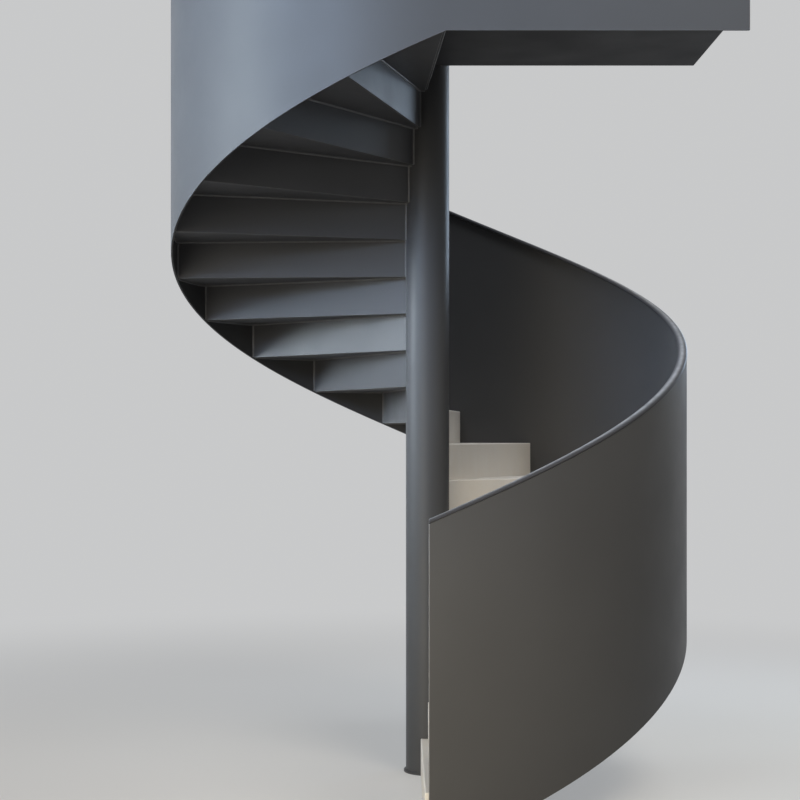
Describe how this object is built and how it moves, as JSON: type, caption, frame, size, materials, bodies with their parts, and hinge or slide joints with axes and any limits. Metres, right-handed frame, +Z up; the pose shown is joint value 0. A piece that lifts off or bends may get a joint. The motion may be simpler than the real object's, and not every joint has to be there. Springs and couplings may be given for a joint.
{
  "type": "spiral staircase",
  "caption": "Spiral staircase with folded steel steps on a tubular column, pale treads, a solid helical steel guard with a crowned rail, and a quarter landing at the top.",
  "frame": {"origin": "centre of the column's foot, on the finished floor", "axes": "+Z up along the column; -Y towards the front, where the first riser starts and the landing ends the turn; +X towards the landing's bearing edge"},
  "size_m": [2.6222, 2.5844, 4.8459],
  "materials": {
    "dark_paint": "satin charcoal paint on sheet steel",
    "rail_paint": "satin charcoal paint on a crowned steel rail, a little lighter at its worn edges",
    "pale_screed": "matte trowelled mineral screed, warm pale beige"
  },
  "bodies": {
    "root": {"foot_plate": "dark_paint", "column": "dark_paint", "column_cap": "dark_paint", "step_01": "dark_paint", "step_02": "dark_paint", "step_03": "dark_paint", "step_04": "dark_paint", "step_05": "dark_paint", "step_06": "dark_paint", "step_07": "dark_paint", "step_08": "dark_paint", "step_09": "dark_paint", "step_10": "dark_paint", "step_11": "dark_paint", "step_12": "dark_paint", "step_13": "dark_paint", "step_14": "dark_paint", "step_15": "dark_paint", "step_16": "dark_paint", "step_17": "dark_paint", "step_18": "dark_paint", "step_19": "dark_paint", "guard_panel_1": "dark_paint", "guard_panel_2": "dark_paint", "guard_panel_3": "dark_paint", "guard_panel_4": "dark_paint", "guard_panel_5": "dark_paint", "guard_panel_6": "dark_paint", "guard_panel_7": "dark_paint", "landing_riser": "dark_paint", "landing_deck": "dark_paint", "landing_guard": "dark_paint", "well_guard": "dark_paint", "tread_01": "pale_screed", "tread_02": "pale_screed", "tread_03": "pale_screed", "tread_04": "pale_screed", "tread_05": "pale_screed", "tread_06": "pale_screed", "tread_07": "pale_screed", "tread_08": "pale_screed", "tread_09": "pale_screed", "tread_10": "pale_screed", "tread_11": "pale_screed", "tread_12": "pale_screed", "tread_13": "pale_screed", "tread_14": "pale_screed", "tread_15": "pale_screed", "tread_16": "pale_screed", "tread_17": "pale_screed", "tread_18": "pale_screed", "tread_19": "pale_screed", "landing_floor": "pale_screed", "handrail_1": "rail_paint", "handrail_2": "rail_paint", "handrail_3": "rail_paint", "handrail_4": "rail_paint", "landing_rail": "rail_paint", "well_rail": "rail_paint"}
  },
  "joints": []
}
